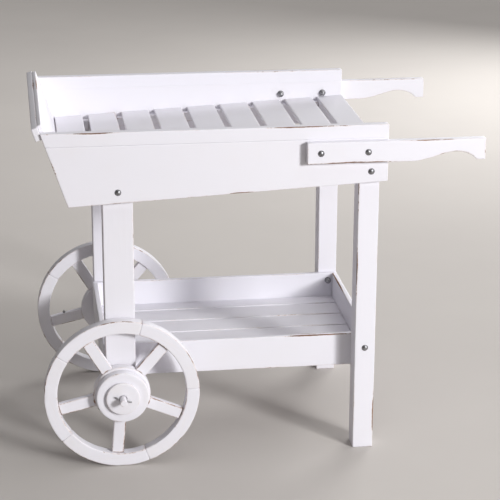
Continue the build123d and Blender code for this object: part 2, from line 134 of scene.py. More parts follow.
def boundary_loops(faces):
    """The closed loops of points round a set of faces."""
    inside = set(faces)
    following = {}
    for face in faces:
        for loop in face.loops:
            if sum(other in inside for other in loop.edge.link_faces) == 1:
                following[loop.vert] = loop.link_loop_next.vert
    loops = []
    while following:
        start, vert = next(iter(following.items()))
        loop = [start]
        del following[start]
        while vert is not start and vert in following:
            loop.append(vert)
            vert = following.pop(vert)
        loops.append(loop)
    return loops


def signed_area(points):
    """The area in a closed outline, positive when it runs anticlockwise."""
    after = np.roll(points, -1, axis=0)
    return 0.5 * np.sum(points[:, 0] * after[:, 1] - after[:, 0] * points[:, 1])


def without_straight_points(points, least=math.radians(0.4)):
    """An outline without the points that lie along its straight runs."""
    kept = []
    count = len(points)
    for i in range(count):
        before = points[i] - points[i - 1]
        after = points[(i + 1) % count] - points[i]
        turn = math.atan2(before[0] * after[1] - before[1] * after[0], before @ after)
        if abs(turn) > least:
            kept.append(points[i])
    return np.array(kept)


def without_crowding(points, reach):
    """An outline without the gently turning points that lie close to a sharp corner."""
    turn = np.abs(mitres(points)[2])
    corners = points[turn > CORNER_TURN]
    if not len(corners):
        return points
    gaps = np.linalg.norm(points[:, None, :] - corners[None, :, :], axis=2).min(axis=1)
    return points[(turn > GENTLE_TURN) | (gaps > reach)]


def outlines(node, along):
    """(outline, low, high) of each solid of a node that is one shape drawn along an axis.

    The outline is in the two other axes, in the order that makes a right-handed set."""
    first, second = (along + 1) % 3, (along + 2) % 3
    mesh = joined_mesh(node)
    shapes = []
    for solid in separate_solids(mesh):
        places = [v.co[along] for face in solid for v in face.verts]
        low, high = min(places), max(places)
        end = [
            face
            for face in solid
            if face.normal[along] > 0.99 and face.calc_center_median()[along] > high - JOIN * 10
        ]
        loop = max(boundary_loops(end), key=len_of)
        points = np.array([(v.co[first], v.co[second]) for v in loop])
        points = without_straight_points(points)
        if signed_area(points) < 0:
            points = points[::-1]
        shapes.append((without_crowding(points, FIELD * 1.1), low, high))
    mesh.free()
    return shapes


def len_of(loop):
    """Length of a closed loop of mesh points."""
    return sum((loop[i].co - loop[i - 1].co).length for i in range(len(loop)))


# --------------------------------------
# Board shapes: an outline drawn along an axis, with rounded edges
# --------------------------------------


def mitres(points):
    """(inward mitre, inward normal of the next edge, turn) at each point of an outline."""
    after = np.roll(points, -1, axis=0) - points
    length = np.linalg.norm(after, axis=1, keepdims=True)
    ahead = after / length
    normal = np.stack([-ahead[:, 1], ahead[:, 0]], axis=1)
    behind = np.roll(normal, 1, axis=0)
    dot = np.sum(normal * behind, axis=1, keepdims=True)
    cross = behind[:, 0] * normal[:, 1] - behind[:, 1] * normal[:, 0]
    turn = np.arctan2(cross, dot[:, 0])
    return (normal + behind) / (1 + dot), normal, turn


def stations(points, edge, support):
    """What ring() needs: the places round an outline, its mitres, its normals, its sharp corners.

    A place is (point, None, direction it faces) or (point before it, share of the edge, None)."""
    mitre, normal, turn = mitres(points)
    count = len(points)
    sharp = turn > CORNER_TURN
    found = []
    for i in range(count):
        j = (i + 1) % count
        if sharp[i]:
            start = math.atan2(-normal[i - 1][1], -normal[i - 1][0])
            for k in range(ARC_STEPS + 1):
                angle = start + turn[i] * k / ARC_STEPS
                found.append((i, None, np.array((math.cos(angle), math.sin(angle)))))
        else:
            found.append((i, None, None))
        length = np.linalg.norm(points[j] - points[i])
        for share in edge_shares(length, edge, support, sharp[i], sharp[j]):
            found.append((i, share, None))
    return found, mitre, normal, sharp


def edge_shares(length, edge, support, sharp_start, sharp_end):
    """Shares of an edge's length at which it gets a place of its own."""
    if length < 2.5 * support:
        return []
    low = support / length if sharp_start else 0.0
    high = 1 - support / length if sharp_end else 1.0
    count = max(1, round((high - low) * length / STEP))
    inner = [low + (high - low) * k / count for k in range(count + 1)]
    return [share for share in inner if edge / length < share < 1 - edge / length]


def ring(points, parts, edge, inset):
    """The places round an outline, moved inwards by inset, with corners rounded to edge."""
    found, mitre, normal, sharp = parts

    def moved(i, facing):
        if inset >= edge or not sharp[i]:
            return points[i] + mitre[i] * inset
        return points[i] + mitre[i] * edge + facing * (edge - inset)

    places = []
    for i, share, facing in found:
        if share is None:
            places.append(moved(i, facing))
        else:
            start = moved(i, -normal[i])
            end = moved((i + 1) % len(points), -normal[i])
            places.append(start * (1 - share) + end * share)
    return np.array(places)


def quads(rows, width, closed=False):
    """Faces between rows of points that run round and round, and from the last to the first."""
    pairs = [(row, (row + 1) % rows) for row in range(rows if closed else rows - 1)]
    return [
        (a * width + k, a * width + (k + 1) % width, b * width + (k + 1) % width, b * width + k)
        for a, b in pairs
        for k in range(width)
    ]


def board_rows(low, high, edge, support, depth_support):
    """(inset, place) of each row of a board's points, from its low end to its high end."""
    rows = [(support, low), (min(edge * 1.5, support * 0.8), low)]
    for k in range(ARC_STEPS + 1):
        angle = math.pi / 2 * k / ARC_STEPS
        rows.append((edge * (1 - math.sin(angle)), low + edge * (1 - math.cos(angle))))
    start = list(rows)
    between = high - low - 2 * depth_support
    count = max(1, round(between / STEP))
    for k in range(count + 1):
        rows.append((0.0, low + depth_support + between * k / count))
    return rows + [(inset, low + high - place) for inset, place in reversed(start)]


def drawn_board(points, low, high, edge, field=FIELD, tight=None):
    """(verts, faces, nearness to an edge) of an outline drawn from low to high.

    Points are in the outline's two axes, with the drawn axis last. tight(point, end) gives the
    share of the rounding left at a place on the outline of an end, for edges that meet others."""
    length = np.linalg.norm(points - np.roll(points, 1, axis=0), axis=1).sum()
    around = abs(signed_area(points)) / length
    support = min(field, 0.8 * around)
    depth_support = min(field, 0.4 * (high - low))
    edge = min(edge, 0.6 * around, 0.3 * (high - low))
    rows = board_rows(low, high, edge, support, depth_support)
    parts = stations(points, edge, max(support, edge * 1.5))
    corners = points[parts[-1]]
    outer = ring(points, parts, edge, 0.0)
    shares = {
        end: np.array([[tight(place, end) if tight else 1.0] for place in outer]) for end in (low, high)
    }
    verts = []
    near = []
    for inset, place in rows:
        flat = ring(points, parts, edge, inset)
        to_end = min(place - low, high - place)
        end = low if place < (low + high) / 2 else high
        left = shares[end]
        reach = np.full(len(flat), math.hypot(inset, to_end))
        if len(corners):
            gaps = np.linalg.norm(flat[:, None, :] - corners[None, :, :], axis=2)
            reach = np.minimum(reach, gaps.min(axis=1))
        near.append(np.clip(1 - reach / field, 0, 1) * np.where(left[:, 0] < 1, JOINT_WEAR, 1.0))
        depth = np.full(len(flat), place)
        if inset < edge:
            flat = outer + (flat - outer) * left
            if to_end < edge:
                depth = end + (depth - end) * left[:, 0]
        verts.append(np.column_stack([flat, depth]))
    width = len(verts[0])
    faces = quads(len(rows), width)
    last = (len(rows) - 1) * width
    faces.append(tuple(range(width - 1, -1, -1)))
    faces.append(tuple(range(last, last + width)))
    return np.concatenate(verts), faces, np.concatenate(near)


def turned_board(profile, edge, field=FIELD):
    """(verts, faces, nearness) of a closed profile (radius, height) turned round the drawn axis."""
    points = np.array(profile)
    if signed_area(points) < 0:
        points = points[::-1]
    parts = stations(points, edge, edge * 2.5)
    flat = ring(points, parts, edge, 0.0)
    to_corners = np.linalg.norm(flat[:, None, :] - points[None, :, :], axis=2)
    gaps = to_corners.min(axis=1)
    corner = points[to_corners.argmin(axis=1)]
    close = np.clip(1 - gaps / field, 0, 1)
    at_bore = (gaps <= edge * 1.01) & (corner[:, 0] < points[:, 0].min() + JOIN)
    flat[at_bore] = corner[at_bore] + (flat[at_bore] - corner[at_bore]) * JOINT_ROUND
    close[at_bore] *= JOINT_WEAR
    radius, height = flat.T
    verts = []
    for k in range(FACET_TURNS):
        angle = 2 * math.pi * k / FACET_TURNS
        verts.append(np.column_stack([radius * math.cos(angle), radius * math.sin(angle), height]))
    faces = quads(FACET_TURNS, len(flat), closed=True)
    return np.concatenate(verts), faces, np.tile(close, FACET_TURNS)


def placed(verts, along):
    """Points given with the drawn axis last, put back in the cart's X, Y, Z order."""
    out = np.zeros_like(verts)
    out[:, (along + 1) % 3] = verts[:, 0]
    out[:, (along + 2) % 3] = verts[:, 1]
    out[:, along] = verts[:, 2]
    return out


def store(mesh, name, values):
    """Puts a number or a vector for each point on a mesh, as an attribute."""
    kind, key = ("FLOAT_VECTOR", "vector") if values.ndim == 2 else ("FLOAT", "value")
    given = mesh.attributes.new(name, kind, "POINT")
    given.data.foreach_set(key, values.astype(np.float32).ravel())


def close_up(mesh):
    """Joins a mesh's doubled points, turns its faces outwards and shades it smooth."""
    whole = bmesh.new()
    whole.from_mesh(mesh)
    bmesh.ops.remove_doubles(whole, verts=whole.verts, dist=JOIN)
    bmesh.ops.recalc_face_normals(whole, faces=whole.faces)
    whole.to_mesh(mesh)
    whole.free()
    mesh.shade_smooth()


def mesh_object(name, shapes, grain=None, rubbing=None):
    """One object from several (verts, faces, nearness) shapes, each with a tone of its own."""
    verts = np.concatenate([shape[0] for shape in shapes])
    faces = []
    base = 0
    for shape in shapes:
        faces += [tuple(base + i for i in face) for face in shape[1]]
        base += len(shape[0])
    mesh = bpy.data.meshes.new(name)
    mesh.from_pydata([tuple(v) for v in verts], [], faces)
    store(mesh, "near_edge", np.concatenate([shape[2] for shape in shapes]))
    tones = [np.full(len(shape[0]), tone_of(f"{name}{k}")) for k, shape in enumerate(shapes)]
    store(mesh, "tone", np.concatenate(tones))
    store(mesh, "rub", (rubbing or rubbed)(verts))
    if grain is not None:
        store(mesh, "grain", grain(verts))
    close_up(mesh)
    piece = bpy.data.objects.new(name, mesh)
    bpy.context.scene.collection.objects.link(piece)
    return piece


def tone_of(name):
    """A fixed share from 0 to 1 that differs from board to board."""
    value = 0
    for letter in name:
        value = (value * 31 + ord(letter)) % 9973
    return value / 9973


# --------------------------------------
# Where hands, goods and bumps have rubbed the paint: (place, reach, strength)
# --------------------------------------
RUBBED = [
    # top edge of the near strip, bottom edge of the near side board
    ((-0.366, -0.288, 0.779), (0.034, 0.012, 0.010), 1.0),
    ((0.075, -0.288, 0.779), (0.050, 0.012, 0.006), 0.7),
    ((-0.050, -0.288, 0.635), (0.030, 0.012, 0.010), 0.9),
    # near handle: bottom edge over the leg, top edge of the grip
    ((0.195, -0.307, 0.699), (0.050, 0.010, 0.006), 0.8),
    ((0.385, -0.307, 0.746), (0.050, 0.012, 0.008), 0.9),
    # far handle
    ((0.385, 0.307, 0.746), (0.055, 0.014, 0.010), 0.9),
    # near shelf board's top edge, then the near stand leg's left and right edges
    ((0.130, -0.219, 0.268), (0.055, 0.012, 0.010), 1.1),
    ((0.219, -0.267, 0.455), (0.008, 0.008, 0.050), 0.8),
    ((0.262, -0.267, 0.100), (0.010, 0.010, 0.060), 0.5),
    # far side board, end rail and the shelf's far corner
    ((0.110, 0.288, 0.779), (0.070, 0.014, 0.010), 0.7),
    ((-0.250, 0.288, 0.640), (0.060, 0.014, 0.010), 0.8),
    ((-0.460, 0.120, 0.790), (0.030, 0.060, 0.016), 0.8),
    ((0.255, 0.120, 0.267), (0.010, 0.070, 0.010), 0.9),
    ((0.110, 0.219, 0.267), (0.060, 0.010, 0.010), 0.3),
]


def rubbed(verts):
    """How much each point lies in a rubbed place, from 0 to about 1."""
    total = np.zeros(len(verts))
    for place, reach, strength in RUBBED:
        away = (verts - np.array(place)) / np.array(reach)
        total = np.maximum(total, strength * np.exp(-np.sum(away**2, axis=1)))
    return total


# --------------------------------------
# Colours, and how wear is read from the masks
# --------------------------------------
LIGHT_WOOD = (0.34, 0.19, 0.11, 1)
DARK_WOOD = (0.11, 0.050, 0.026, 1)
WHITE_PAINT = (0.83, 0.82, 0.875, 1)
AGED_PAINT = (0.78, 0.72, 0.66, 1)
STAINED_PAINT = (0.62, 0.47, 0.38, 1)
DARK_ZINC = (0.20, 0.20, 0.21, 1)
BRIGHT_ZINC = (0.46, 0.46, 0.47, 1)
NYLON = (0.74, 0.72, 0.66, 1)
GRIME = (0.36, 0.32, 0.27, 1)
FLOOR_DARK = (0.53, 0.50, 0.475, 1)
FLOOR_LIGHT = (0.59, 0.56, 0.53, 1)

BARE_FROM, BARE_TO = 0.55, 0.61     # wear at which paint starts to go and is all gone
THIN_FROM, THIN_TO = 0.20, 0.60     # wear at which paint starts to show a stain
THIN_STAIN = 0.34                   # how much stain thin paint shows
PAINT_RELIEF = 0.5                  # strength of brush marks and of the step where paint ends

# --------------------------------------
# Shader groups. Scales are in waves per metre, and the grain runs along X
# --------------------------------------


class Nodes:
    """A short way to add and join nodes in a tree."""

    def __init__(self, tree):
        self.tree = tree

    def add(self, kind, settings=None, **inputs):
        node = self.tree.nodes.new(kind)
        for key, value in (settings or {}).items():
            setattr(node, key, value)
        for key, value in inputs.items():
            self.put(node.inputs[key.replace("_", " ")], value)
        return node

    def put(self, socket, value):
        if isinstance(value, bpy.types.NodeSocket):
            self.tree.links.new(value, socket)
        else:
            socket.default_value = value

    def math(self, operation, *values, clamp=False):
        """A sum of one kind on values or sockets."""
        node = self.tree.nodes.new("ShaderNodeMath")
        node.operation = operation
        node.use_clamp = clamp
        for socket, value in zip(node.inputs, values):
            self.put(socket, value)
        return node.outputs[0]

    def plus(self, *values, clamp=False):
        return self.math("ADD", *values, clamp=clamp)

    def times(self, *values):
        return self.math("MULTIPLY", *values)

    def mix(self, share, first, second):
        """The first colour, turning to the second as share goes from 0 to 1."""
        node = self.tree.nodes.new("ShaderNodeMix")
        node.data_type = "RGBA"
        self.put(node.inputs["Factor"], share)
        self.put(node.inputs[6], first)
        self.put(node.inputs[7], second)
        return node.outputs[2]

    def noise(self, place, scale, detail=2.0, rough=0.5, offset=None):
        """Noise from 0 to 1, a different pattern for each offset."""
        settings = {"noise_dimensions": "4D" if offset is not None else "3D"}
        node = self.add("ShaderNodeTexNoise", settings)
        self.put(node.inputs["Vector"], place)
        self.put(node.inputs["Scale"], scale)
        self.put(node.inputs["Detail"], detail)
        self.put(node.inputs["Roughness"], rough)
        if offset is not None:
            self.put(node.inputs["W"], offset)
        return node.outputs["Fac"]

    def ramp(self, value, low, high):
        """A smooth step from 0 at low to 1 at high."""
        node = self.tree.nodes.new("ShaderNodeMapRange")
        node.interpolation_type = "SMOOTHSTEP"
        self.put(node.inputs["Value"], value)
        self.put(node.inputs["From Min"], low)
        self.put(node.inputs["From Max"], high)
        return node.outputs["Result"]

    def stretched(self, place, scale):
        """A place with its X, Y and Z scaled, so that a pattern is long one way."""
        node = self.add("ShaderNodeVectorMath", {"operation": "MULTIPLY"})
        self.put(node.inputs[0], place)
        self.put(node.inputs[1], scale)
        return node.outputs[0]


NUMBER, WHOLE, VECTOR, COLOUR, SHAPE, FINISH, OBJECT = (
    f"NodeSocket{kind}"
    for kind in ("Float", "Int", "Vector", "Color", "Geometry", "Material", "Object")
)


def new_group(name, kind, inputs, outputs):
    """An empty node group with named inputs (name, kind, default) and outputs (name, kind).

    Gives the group, its nodes helper, and the sockets that its inputs and outputs join."""
    group = bpy.data.node_groups.new(name, kind)
    for label, socket_type, value in inputs:
        socket = group.interface.new_socket(label, in_out="INPUT", socket_type=socket_type)
        if value is not None:
            socket.default_value = value
    for label, socket_type in outputs:
        group.interface.new_socket(label, in_out="OUTPUT", socket_type=socket_type)
    tree = Nodes(group)
    given, out = tree.add("NodeGroupInput"), tree.add("NodeGroupOutput")
    return group, tree, given.outputs, out.inputs


def make_timber_group():
    """Bare aged softwood: its colour and the height of its fibres, with the grain along X."""
    group, tree, given, out = new_group(
        "aged_timber",
        "ShaderNodeTree",
        [
            ("Place", VECTOR, None),
            ("Tone", NUMBER, 0.5),
            ("Light wood", COLOUR, LIGHT_WOOD),
            ("Dark wood", COLOUR, DARK_WOOD),
        ],
        [("Color", COLOUR), ("Fibres", NUMBER)],
    )
    place = given["Place"]
    shift = tree.times(given["Tone"], 40.0)
    rings = tree.noise(tree.stretched(place, (3.0, 60.0, 60.0)), 1.0, 3.0, 0.55, shift)
    fibres = tree.noise(tree.stretched(place, (30.0, 900.0, 900.0)), 1.0, 3.0, 0.6, shift)
    stain = tree.noise(place, 55.0, 3.0, 0.6, shift)
    share = tree.plus(tree.times(rings, 0.7), tree.times(fibres, 0.5))
    share = tree.ramp(tree.plus(share, tree.times(stain, 0.3)), 0.5, 1.0)
    colour = tree.mix(share, given["Dark wood"], given["Light wood"])
    tree.put(out["Color"], colour)
    tree.put(out["Fibres"], fibres)
    return group


def make_wear_group():
    """Masks for where paint is rubbed through, thinned and cracked, from edges and rubbing."""
    group, tree, given, out = new_group(
        "rubbed_edges",
        "ShaderNodeTree",
        [
            ("Place", VECTOR, None),
            ("Tone", NUMBER, 0.5),
            ("Near edge", NUMBER, 0.0),
            ("Rub", NUMBER, 0.0),
            ("Wear", NUMBER, 0.5),
        ],
        [("Bare", NUMBER), ("Thin", NUMBER)],
    )
    place = given["Place"]
    shift = tree.times(given["Tone"], 25.0)
    stretches = tree.noise(tree.stretched(place, (7.0, 26.0, 26.0)), 1.0, 2.0, 0.5, shift)
    ragged = tree.noise(tree.stretched(place, (80.0, 220.0, 220.0)), 1.0, 4.0, 0.65, shift)
    flakes = tree.noise(place, 600.0, 2.0, 0.6, shift)
    near = given["Near edge"]
    close = tree.math("POWER", near, 2.2)
    gain = tree.plus(tree.times(given["Wear"], 0.62), 0.20)
    gain = tree.plus(gain, tree.times(given["Rub"], 0.90))
    stretches = tree.times(tree.math("SUBTRACT", stretches, 0.5), 1.5)
    ragged = tree.times(tree.math("SUBTRACT", ragged, 0.5), 0.95)
    flakes = tree.times(tree.math("SUBTRACT", flakes, 0.5), 0.25)
    uneven = tree.times(tree.plus(tree.plus(stretches, ragged), flakes), near)
    level = tree.plus(tree.times(close, gain), uneven)
    tree.put(out["Bare"], tree.ramp(level, BARE_FROM, BARE_TO))
    tree.put(out["Thin"], tree.ramp(level, THIN_FROM, THIN_TO))
    return group


def make_paint_group():
    """Brushed white paint over the grain: its colour, sheen and height."""
    group, tree, given, out = new_group(
        "brushed_paint",
        "ShaderNodeTree",
        [
            ("Place", VECTOR, None),
            ("Tone", NUMBER, 0.5),
            ("Paint", COLOUR, WHITE_PAINT),
            ("Aged paint", COLOUR, AGED_PAINT),
            ("Age", NUMBER, 0.12),
        ],
        [("Color", COLOUR), ("Roughness", NUMBER), ("Height", NUMBER)],
    )
    place = given["Place"]
    shift = tree.times(given["Tone"], 60.0)
    strokes = tree.noise(tree.stretched(place, (14.0, 420.0, 420.0)), 1.0, 4.0, 0.6, shift)
    grain = tree.noise(tree.stretched(place, (4.0, 95.0, 95.0)), 1.0, 4.0, 0.6, shift)
    grain = tree.ramp(tree.math("ABSOLUTE", tree.math("SUBTRACT", grain, 0.5)), 0.0, 0.12)
    clouds = tree.noise(place, 9.0, 4.0, 0.6, shift)
    specks = tree.noise(place, 420.0, 2.0, 0.5, shift)
    specks = tree.ramp(specks, 0.72, 0.80)
    yellowed = tree.times(tree.ramp(clouds, 0.42, 0.85), given["Age"])
    yellowed = tree.plus(yellowed, tree.times(specks, 0.16))
    board = tree.times(given["Tone"], 0.05)
    yellowed = tree.plus(yellowed, board, clamp=True)
    colour = tree.mix(yellowed, given["Paint"], given["Aged paint"])
    tree.put(out["Color"], colour)
    sheen = tree.plus(tree.times(strokes, 0.18), 0.40)
    tree.put(out["Roughness"], tree.plus(sheen, tree.times(clouds, 0.10)))
    height = tree.plus(tree.times(strokes, 0.35), tree.times(grain, 0.45))
    tree.put(out["Height"], tree.math("SUBTRACT", height, tree.times(specks, 0.3)))
    return group


TIMBER = make_timber_group()
RUBBED_EDGES = make_wear_group()
BRUSHED_PAINT = make_paint_group()

# --------------------------------------
# Materials
# --------------------------------------


def new_material(name):
    """A material with its Principled shader: (material, nodes helper, shader)."""
    material = bpy.data.materials.new(name)
    material.use_nodes = True
    tree = material.node_tree
    shader = next(node for node in tree.nodes if node.type == "BSDF_PRINCIPLED")
    return material, Nodes(tree), shader


def group_node(tree, group, **inputs):
    """A shader group's node with its inputs set or joined."""
    node = tree.add("ShaderNodeGroup")
    node.node_tree = group
    for key, value in inputs.items():
        tree.put(node.inputs[key.replace("_", " ")], value)
    return node


def attribute(tree, name, output):
    """A value that each point of the mesh carries."""
    return tree.add("ShaderNodeAttribute", {"attribute_name": name}).outputs[output]


def painted_timber(name, turn=(0, 0, 0), wear=0.5, age=0.12, follows_surface=False):
    """White paint rubbed off aged wood at the edges.

    turn lays the grain along X, or follows_surface reads it from the mesh."""
    material, tree, shader = new_material(name)
    if follows_surface:
        place = attribute(tree, "grain", "Vector")
    else:
        where = tree.add("ShaderNodeTexCoord").outputs["Object"]
        mapping = tree.add("ShaderNodeMapping", Vector=where, Rotation=turn)
        place = mapping.outputs["Vector"]
    tone = attribute(tree, "tone", "Fac")
    near = attribute(tree, "near_edge", "Fac")
    rub = attribute(tree, "rub", "Fac")
    paint = group_node(tree, BRUSHED_PAINT, Place=place, Tone=tone, Age=age)
    timber = group_node(tree, TIMBER, Place=place, Tone=tone)
    masks = group_node(
        tree, RUBBED_EDGES, Place=place, Tone=tone, Near_edge=near, Rub=rub, Wear=wear
    )
    bare, thin = masks.outputs["Bare"], masks.outputs["Thin"]
    stain = tree.times(thin, THIN_STAIN)
    stained = tree.mix(stain, paint.outputs["Color"], STAINED_PAINT)
    tree.put(shader.inputs["Base Color"], tree.mix(bare, stained, timber.outputs["Color"]))
    dull = tree.times(bare, 0.3)
    rough = tree.plus(paint.outputs["Roughness"], dull, clamp=True)
    tree.put(shader.inputs["Roughness"], rough)
    film = tree.math("SUBTRACT", 1.0, bare)
    over = tree.times(paint.outputs["Height"], 0.35)
    under = tree.times(tree.times(timber.outputs["Fibres"], bare), 0.5)
    height = tree.plus(tree.plus(film, over), under)
    bump = tree.add("ShaderNodeBump", Height=height, Strength=PAINT_RELIEF, Distance=0.0005)
    tree.put(shader.inputs["Normal"], bump.outputs["Normal"])
    shader.inputs["Specular IOR Level"].default_value = 0.4
    return material


def dark_steel():
    """Dull, darkened zinc with faint handling marks."""
    material, tree, shader = new_material("dark_steel_finish")
    where = tree.add("ShaderNodeTexCoord").outputs["Object"]
    cloud = tree.noise(where, 260.0, 3.0, 0.6)
    marks = tree.noise(tree.stretched(where, (900.0, 900.0, 2600.0)), 1.0, 2.0, 0.6)
    colour = tree.mix(tree.ramp(cloud, 0.35, 0.7), DARK_ZINC, BRIGHT_ZINC)
    tree.put(shader.inputs["Base Color"], colour)
    tree.put(shader.inputs["Roughness"], tree.plus(tree.times(marks, 0.20), 0.30))
    shader.inputs["Metallic"].default_value = 1.0
    height = tree.plus(cloud, marks)
    bump = tree.add("ShaderNodeBump", Height=height, Strength=0.15, Distance=0.0002)
    tree.put(shader.inputs["Normal"], bump.outputs["Normal"])
    return material


def bush_plastic():
    """Off-white nylon with a turned surface and a little grime."""
    material, tree, shader = new_material("bush_plastic_finish")
    where = tree.add("ShaderNodeTexCoord").outputs["Object"]
    grime = tree.ramp(tree.noise(where, 180.0, 3.0, 0.6), 0.5, 0.8)
    colour = tree.mix(grime, NYLON, GRIME)
    tree.put(shader.inputs["Base Color"], colour)
    turned = tree.noise(tree.stretched(where, (60.0, 1500.0, 60.0)), 1.0, 2.0, 0.5)
    tree.put(shader.inputs["Roughness"], tree.plus(tree.times(turned, 0.2), 0.38))
    bump = tree.add("ShaderNodeBump", Height=turned, Strength=0.2, Distance=0.0002)
    tree.put(shader.inputs["Normal"], bump.outputs["Normal"])
    return material


QUARTER = math.pi / 2
PAINT_LENGTHWISE = painted_timber("paint_lengthwise", wear=0.50)
PAINT_CROSSWISE = painted_timber("paint_crosswise", turn=(0, 0, QUARTER), wear=0.30)
PAINT_SHELF = painted_timber("paint_shelf", wear=0.16)
PAINT_UPRIGHT = painted_timber("paint_upright", turn=(0, QUARTER, 0), wear=0.42)
PAINT_WHEEL = painted_timber("paint_wheel", follows_surface=True, wear=0.66, age=0.3)
PAINT_HUB = painted_timber("paint_hub", turn=(0, QUARTER, 0), wear=0.45, age=0.5)
STEEL = dark_steel()
PLASTIC = bush_plastic()

# --------------------------------------
# Geometry Nodes: worn edges, rows, rings and sets of fasteners
# --------------------------------------


def geometry_group(name, inputs):
    """An empty geometry tree whose first input and only output are the geometry."""
    return new_group(
        name,
        "GeometryNodeTree",
        [("Geometry", SHAPE, None)] + inputs,
        [("Geometry", SHAPE)],
    )


def make_worn_edges():
    """Pushes the edges of a board in by an uneven amount, more where it is rubbed."""
    group, tree, given, out = geometry_group(
        "worn_edges",
        [
            ("Chip depth", NUMBER, 0.0008),
            ("Chip length", NUMBER, 0.02),
            ("Rubbed depth", NUMBER, 0.0012),
            ("Seed", WHOLE, 1),
        ],
    )
    near = tree.add("GeometryNodeInputNamedAttribute", {"data_type": "FLOAT"}, Name="near_edge")
    rub = tree.add("GeometryNodeInputNamedAttribute", {"data_type": "FLOAT"}, Name="rub")
    tone = tree.add("GeometryNodeInputNamedAttribute", {"data_type": "FLOAT"}, Name="tone")
    place = tree.add("GeometryNodeInputPosition").outputs["Position"]
    per_length = tree.math("DIVIDE", 1.0, given["Chip length"])
    shift = tree.plus(given["Seed"], tree.times(tone.outputs[0], 30.0))
    chips = tree.noise(place, per_length, 3.0, 0.6, shift)
    chips = tree.ramp(chips, 0.48, 0.78)
    close = tree.math("POWER", near.outputs[0], 2.0)
    worn = tree.times(chips, given["Chip depth"])
    extra = tree.times(rub.outputs[0], given["Rubbed depth"])
    worn = tree.plus(worn, tree.times(extra, tree.plus(chips, 0.35)))
    worn = tree.times(tree.times(worn, close), -1.0)
    normal = tree.add("GeometryNodeInputNormal").outputs[0]
    scaled = tree.add("ShaderNodeVectorMath", {"operation": "SCALE"})
    tree.put(scaled.inputs[0], normal)
    tree.put(scaled.inputs["Scale"], worn)
    moved = tree.add("GeometryNodeSetPosition", Geometry=given["Geometry"])
    tree.put(moved.inputs["Offset"], scaled.outputs[0])
    tree.put(out["Geometry"], moved.outputs["Geometry"])
    return group


WORN_EDGES = make_worn_edges()
WEAR_INPUTS = [
    ("Chip depth", NUMBER, 0.0008),
    ("Chip length", NUMBER, 0.02),
    ("Rubbed depth", NUMBER, 0.0012),
    ("Seed", WHOLE, 1),
    ("Finish", FINISH, None),
]


def end_with_finish(tree, given, out, geometry):
    """Wears the geometry, then ends a tree with Realize Instances and Set Material."""
    real = tree.add("GeometryNodeRealizeInstances", Geometry=geometry)
    worn = tree.add("GeometryNodeGroup")
    worn.node_tree = WORN_EDGES
    tree.put(worn.inputs["Geometry"], real.outputs["Geometry"])
    for label, _, _ in WEAR_INPUTS[:4]:
        tree.put(worn.inputs[label], given[label])
    finish = tree.add("GeometryNodeSetMaterial", Geometry=worn.outputs["Geometry"])
    tree.put(finish.inputs["Material"], given["Finish"])
    tree.put(out["Geometry"], finish.outputs["Geometry"])


def live(sockets, name=None):
    """The socket in use, of a node that has one for each type of data."""
    return next(one for one in sockets if one.enabled and name in (None, one.name))


def copies_with_tones(tree, given, points, piece, rotation=None):
    """A piece on every point, each copy with a tone of its own."""
    copies = tree.add("GeometryNodeInstanceOnPoints", Points=points, Instance=piece)
    if rotation is not None:
        tree.put(copies.inputs["Rotation"], rotation)
    chance = tree.add("FunctionNodeRandomValue", {"data_type": "FLOAT"}, Seed=given["Seed"])
    settings = {"data_type": "FLOAT", "domain": "INSTANCE"}
    stored = tree.add("GeometryNodeStoreNamedAttribute", settings, Name="tone")
    tree.put(stored.inputs["Geometry"], copies.outputs["Instances"])
    tree.put(live(stored.inputs, "Value"), live(chance.outputs))
    return stored.outputs["Geometry"]


def make_single_board():
    """One board, worn."""
    group, tree, given, out = geometry_group("single_board", WEAR_INPUTS)
    end_with_finish(tree, given, out, given["Geometry"])
    return group


def make_board_row():
    """Copies of one board at an even pitch."""
    group, tree, given, out = geometry_group(
        "board_row",
        [("Count", WHOLE, 2), ("Pitch", VECTOR, None)] + WEAR_INPUTS,
    )
    line = tree.add("GeometryNodeMeshLine", {"mode": "OFFSET"}, Count=given["Count"])
    tree.put(line.inputs["Offset"], given["Pitch"])
    row = copies_with_tones(tree, given, line.outputs["Mesh"], given["Geometry"])
    end_with_finish(tree, given, out, row)
    return group


def make_piece_ring():
    """Copies of one piece spaced evenly round an axis along Y through a centre."""
    group, tree, given, out = geometry_group(
        "piece_ring",
        [("Count", WHOLE, 5), ("Centre", VECTOR, None)] + WEAR_INPUTS,
    )
    back = tree.add("ShaderNodeVectorMath", {"operation": "SCALE"})
    tree.put(back.inputs[0], given["Centre"])
    tree.put(back.inputs["Scale"], -1.0)
    centred = tree.add("GeometryNodeTransform", Geometry=given["Geometry"])
    tree.put(centred.inputs["Translation"], back.outputs[0])
    line = tree.add("GeometryNodeMeshLine", {"mode": "OFFSET"}, Count=given["Count"])
    tree.put(line.inputs["Offset"], (0.0, 0.0, 0.0))
    tree.put(line.inputs["Start Location"], given["Centre"])
    index = tree.add("GeometryNodeInputIndex").outputs[0]
    step = tree.math("DIVIDE", 2 * math.pi, given["Count"])
    turn = tree.add("ShaderNodeCombineXYZ")
    tree.put(turn.inputs["Y"], tree.times(index, step))
    around = copies_with_tones(
        tree, given, line.outputs["Mesh"], centred.outputs["Geometry"], turn.outputs["Vector"]
    )
    end_with_finish(tree, given, out, around)
    return group


